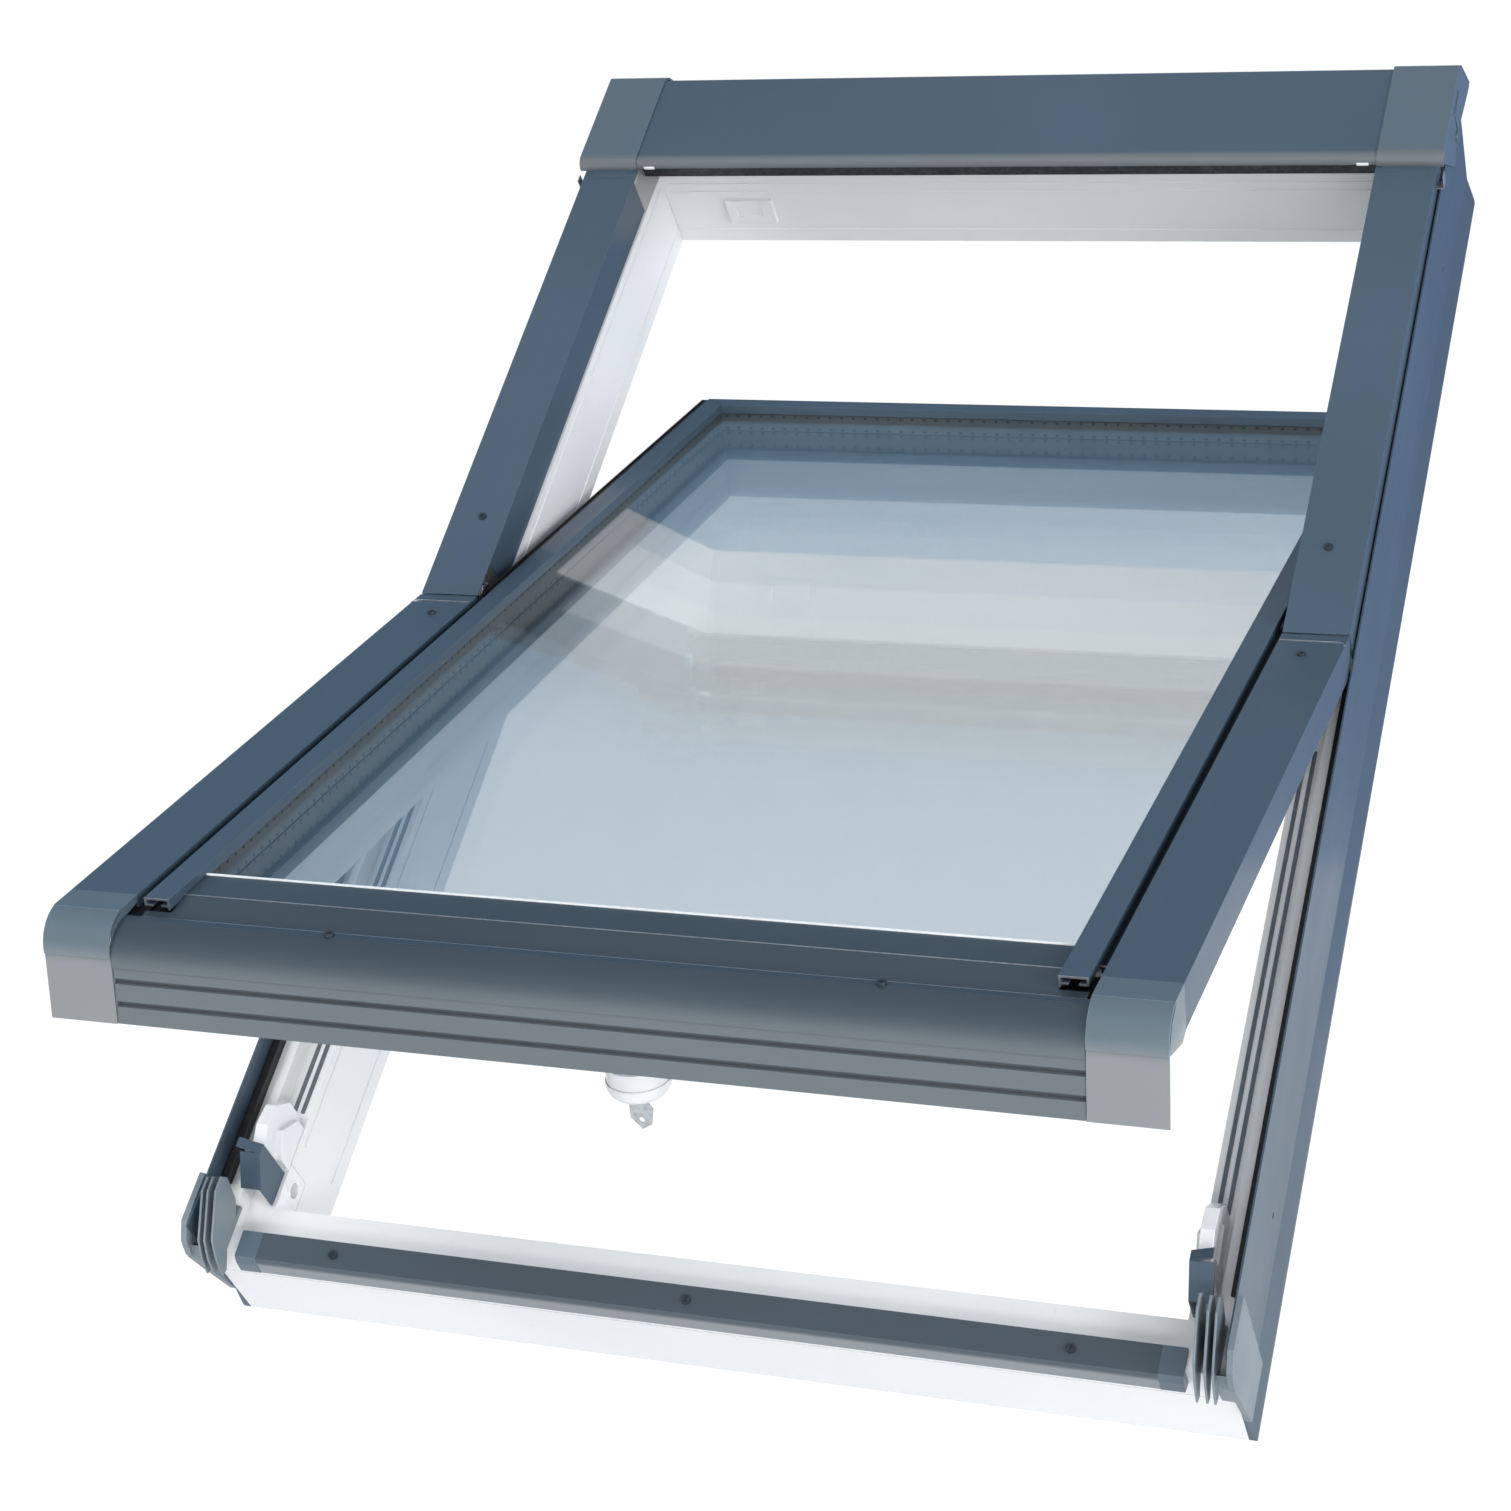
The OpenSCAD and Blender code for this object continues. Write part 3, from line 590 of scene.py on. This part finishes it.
def cut_end(bm):
    """Bare cut end of a side rail: top, two legs and two flanges turned in under it."""
    inner, outer, end = rail[0].x, rail[1].x, rail[0].y
    wall, inner_leg, foot, flange, flange_top = 1.5, -8, -6, 5, -4.7
    proud, sunk = 0.5, 0.1
    for low, high in (
        ((inner, -wall), (outer, 0)),
        ((inner, inner_leg), (inner + wall, -wall)),
        ((outer - wall, foot), (outer, -wall)),
        ((inner + wall, foot), (inner + wall + flange, flange_top)),
        ((outer - wall - flange, foot), (outer - wall, flange_top)),
    ):
        bar(bm, (low[0], end - proud, low[1]), (high[0], end + sunk, high[1]))


fitted("rail_ends", SASH, "sash", "steel", cut_end, 0.12, paired=True)


def end_bead(bm):
    """Bead across the upper end of a sash cover, turned down at the outer corner."""
    at, half, low, high, bend = side_cover[1].y - 13, 0.6, -0.2, 0.7, 7
    corner = side_cover[1].x - bend - 0.4
    bar(bm, (side_cover[0].x + 0.6, at - half, low), (corner, at + half, high))
    section = [(at - half, low), (at + half, low), (at + half, high), (at - half, high)]
    quarter = math.pi / 2
    turned(bm, [(corner, y, z) for y, z in section], (corner, at - bend, 0), (0, 0, 1), -quarter, 8)


fitted("cover_beads", SASH, "sash", "steel", end_bead, 0.2, paired=True)


def seal_lips(bm):
    """Two upright lips of the outer seal, along the top and both sides of the sash."""
    outer = reach("sash_gasket", SASH)[1]
    foot, thick, start, margin = -9.3, 2.2, 16, 13
    for inset, top in ((11.5, -1.9), (5.5, -3.5)):
        side, end = outer.x - inset, rail[1].y + margin - inset
        bar(bm, (-side, end - thick, foot), (side, end, top))
        for turn in (1, -1):
            low, high = sorted((turn * side, turn * (side - thick)))
            bar(bm, (low, start, foot), (high, end - 1, top))


fitted("seal_lips", SASH, "sash", "gasket", seal_lips, 0.5)


def end_block(bm):
    """Block that closes a hollow side cover at the bottom."""
    clear, width, below, above, bottom, top = 0.5, 35, 11, 23, -21, -11.5
    bar(bm, (rail[1].x + clear, side_cover[0].y - below, bottom),
        (rail[1].x + width, side_cover[0].y + above, top))


fitted("end_blocks", SASH, "sash", "gasket", end_block, 1.0, paired=True)

# clips, tabs and stops at the ends of the hood
hood_cap = reach("hood_cap_right", ROOF)
cap_side, cap_low = hood_cap[1].x, hood_cap[0].y


def hood_clip(bm):
    """A strip folded twice that holds the cap from below."""
    low, high, thick, wall = cap_low - 11, cap_low - 3, 1.1, 1
    outside, deepest = cap_side + 1, -15
    path = [(cap_side - 12, -3), (cap_side - 6, deepest), (outside, deepest), (outside, -2)]
    for (xa, wa), (xb, wb) in zip(path, path[1:]):
        if xa == xb:
            outline = [(xa - wall, low, wa), (xb, low, wa), (xb, low, wb), (xa - wall, low, wb)]
        else:
            outline = [(xa, low, wa), (xb, low, wb), (xb, low, wb + thick), (xa, low, wa + thick)]
        plate(bm, outline, (0, high - low, 0))


fitted("hood_clips", ROOF, "frame", "steel", hood_clip, 0.2, paired=True)


def side_tab(bm):
    """A pointed plate on the side of the cap with an eyelet at its tip."""
    top, thick = cap_low + 92, 1.1
    inside = cap_side - 0.2
    eye_y, eye_z = top - 26, -29
    plate(bm, [(inside, top, -1), (inside, eye_y, -3), (inside, top - 20, -28)], (thick, 0, 0))
    ring = [(-0.1, 2.6), (-0.1, 5), (1.7, 5), (1.7, 2.6)]
    stud = [(-0.1, 0.01), (-0.1, 2.4), (0.9, 2.4), (1.2, 0.01)]
    for section, steps in ((ring, 32), (stud, 24)):
        turned(bm, [(cap_side + proud, eye_y + radius, eye_z) for proud, radius in section],
               (cap_side, eye_y, eye_z), (1, 0, 0), steps=steps)


fitted("hood_cap_tabs", ROOF, "frame", "pale_cover", side_tab, 0.2, paired=True)


def hood_stop(bm):
    """Small white stop under the hood's front edge."""
    inner, width, bottom, top = 316, 10, 0.3, 3
    bar(bm, (inner, cap_low + 1, bottom), (inner + width, cap_low + 7, top))


fitted("hood_stops", ROOF, "frame", "white_fittings", hood_stop, 0.4, paired=True)

# lips of the grooves along the inner faces of the frame, and grey strips on its ledge, painted shade for the
# ledge's grooves
head = reach("frame_head", ROOF)
opening = reach("frame_jamb_right", ROOF)[0].x
HINGE_END = 62  # the lips stop this far from the pivot, where the hinge begins
SILL_END = 478  # and this far down the jamb
PROUD, SUNK, THICK = 0.8, 0.3, 1.2  # how far a lip stands out of its face and into it, and its thickness


def head_lips(bm):
    half = opening - 6
    for depth in (-74, -84, -132):
        bar(bm, (-half, head[0].y - PROUD, depth), (half, head[0].y + SUNK, depth + THICK))


def jamb_lips(bm):
    gap = 4
    for depth in (-74, -132):
        for low, high in ((-SILL_END, -HINGE_END), (HINGE_END, head[0].y - gap)):
            bar(bm, (opening - PROUD, low, depth), (opening + SUNK, high, depth + THICK))


# grey strips painted as the shade in the grooves along the ledge
def ledge_groove_shade(bm):
    keeper_end, ledge = reach("keeper_right", ROOF)[1].y, -64
    gap, width, height = 4, 3, 1.6
    for inset in (5, 12):
        bar(bm, (opening + inset, keeper_end + gap, ledge - SUNK),
            (opening + inset + width, -HINGE_END, ledge + height))


fitted("ledge_groove_shade", ROOF, "frame", "seal_lip", ledge_groove_shade, 0.4, paired=True)
fitted("head_lips", ROOF, "frame", "white_profile", head_lips, 0.3)
fitted("jamb_lips", ROOF, "frame", "white_profile", jamb_lips, 0.3, paired=True)

# rounded shell of the handle's knob
rose = reach("handle_rose", SASH)
knob_y, knob_z = (rose[0].y + rose[1].y) / 2, reach("handle_lever", SASH)[0].z


def knob_shell(bm):
    """The shell's section is given as radius and rise from the knob's lowest point, out and back in."""
    outside = [(22.3, 14), (22.5, 12), (21.9, 8.6), (20.2, 5.4), (17.4, 2.6), (14.2, 0.9), (11.3, 0.1)]
    inside = [(11.3, 1.0), (14.0, 1.9), (17.0, 3.5), (19.5, 6.0), (21.7, 9.0), (21.7, 14)]
    section = [(radius, knob_y, knob_z + rise) for radius, rise in outside + inside]
    turned(bm, section, (0, knob_y, 0), (0, 0, 1), steps=64)


fitted("knob_shell", SASH, "handle", "white_fittings", knob_shell, 0.1)

# ---------- floor, light and camera ----------
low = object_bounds()[0].z
FLOOR_SIZE, FLOOR_GAP = 16, 0.35
bpy.ops.mesh.primitive_plane_add(size=FLOOR_SIZE, location=(0, 2, low - FLOOR_GAP))
floor = bpy.context.object
floor.name = "floor"
f = Finish("floor_paint")
cloud = f.noise(f.add("ShaderNodeTexCoord", out="Object"), 0.4, 2)
seen = f.seen()
paint = f.patches(cloud, (0.48, 0.48, 0.48), (0.5, 0.5, 0.5))
floor.data.materials.append(f.surface(
    Base_Color=f.mix(seen, paint, (0, 0, 0)), Roughness=0.95,
    Emission_Color=f.mix(seen, (0.42, 0.42, 0.43), (1.02, 1.02, 1.02)), Emission_Strength=1.0))

# surroundings: plain white for the camera, a dim blue-grey sky for everything else
world = bpy.data.worlds.new("studio")
scene.world = world
f = Finish(owner=world)
_, depth, height = f.split(f.add("ShaderNodeTexCoord", out="Generated"))
sky = f.add("ShaderNodeValToRGB", {"stops": [
    (0.0, (1.0, 1.0, 1.0)), (0.14, (1.0, 1.0, 1.0)), (0.3, (0.34, 0.46, 0.6)), (0.5, (0.17, 0.3, 0.44)),
    (0.7, (0.15, 0.24, 0.37)), (0.86, (0.42, 0.46, 0.5)), (1.0, (0.5, 0.53, 0.56)),
]}, {0: height})
front = (0 - depth).band(0.1, 0.9) * (1 - height.band(0.45, 0.85))
sky = f.mix(front, sky, (0.6, 0.6, 0.6))
sky = f.mix(f.add("ShaderNodeLightPath", out="Is Camera Ray"), sky, (1.0, 1.0, 1.0))
f.end(f.add("ShaderNodeBackground", {}, {0: sky, 1: 1.0}), "ShaderNodeOutputWorld")


def softbox(name, place, size, power, colour=(1, 1, 1), seen=True):
    """A lamp with a flat face, in metres and watts, turned to the middle of the window."""
    middle = Vector((0, 0.3, 0.4))
    lamp = bpy.data.lights.new(name, "AREA")
    lamp.shape, lamp.size, lamp.size_y = "RECTANGLE", *size
    lamp.energy, lamp.color = power, colour
    box = bpy.data.objects.new(name, lamp)
    box.location = place
    box.rotation_euler = (middle - Vector(place)).to_track_quat("-Z", "Y").to_euler()
    box.visible_camera = box.visible_transmission = box.visible_glossy = seen
    scene.collection.objects.link(box)


softbox("key", (-1.6, -3.2, 3.4), (2.5, 2.0), 125, seen=False)
softbox("side", (3.4, -1.6, 1.2), (2.0, 1.6), 92, (0.97, 0.98, 1.0))
softbox("back", (0.8, 4.8, 1.1), (2.4, 1.8), 90, seen=False)
softbox("low", (2.0, -4.6, 0.35), (2.6, 1.0), 76)

# a dark blue card behind the right side, seen only in gloss
bpy.ops.mesh.primitive_plane_add(size=3.4, location=(1.5, 3.6, -0.1))
card = bpy.context.object
card.name = "card"
card_faces = Vector((-0.343, -0.925, 0.163))
card.rotation_euler = card_faces.to_track_quat("Z", "Y").to_euler()
card.visible_camera = card.visible_diffuse = card.visible_transmission = card.visible_shadow = False
f = Finish("card_cloth")
weave = f.noise(f.add("ShaderNodeTexCoord", out="Object"), 3, 2)
card.data.materials.append(f.surface(
    Base_Color=f.mix(weave, (0.05, 0.09, 0.17), (0.06, 0.1, 0.19)), Roughness=0.9,
    Emission_Color=(0.08, 0.13, 0.26, 1), Emission_Strength=1.0))

# the camera's place in metres, and its three directions
CAMERA_PLACE = (0.7823, -2.0185, 0.7920)
RIGHT = Vector((0.93746, 0.34809, 0.00146))
DOWN = Vector((0.05794, -0.15190, -0.98670))
AHEAD = Vector((-0.34324, 0.92507, -0.16257))
camera = bpy.data.cameras.new("camera")
camera.sensor_width, camera.lens = 36, 75.571
camera.shift_y = -0.00427
view = bpy.data.objects.new("camera", camera)
view.matrix_world = Matrix.Translation(CAMERA_PLACE) @ Matrix((RIGHT, -DOWN, -AHEAD)).transposed().to_4x4()
scene.collection.objects.link(view)
scene.camera = view
scene.view_settings.view_transform = "Standard"
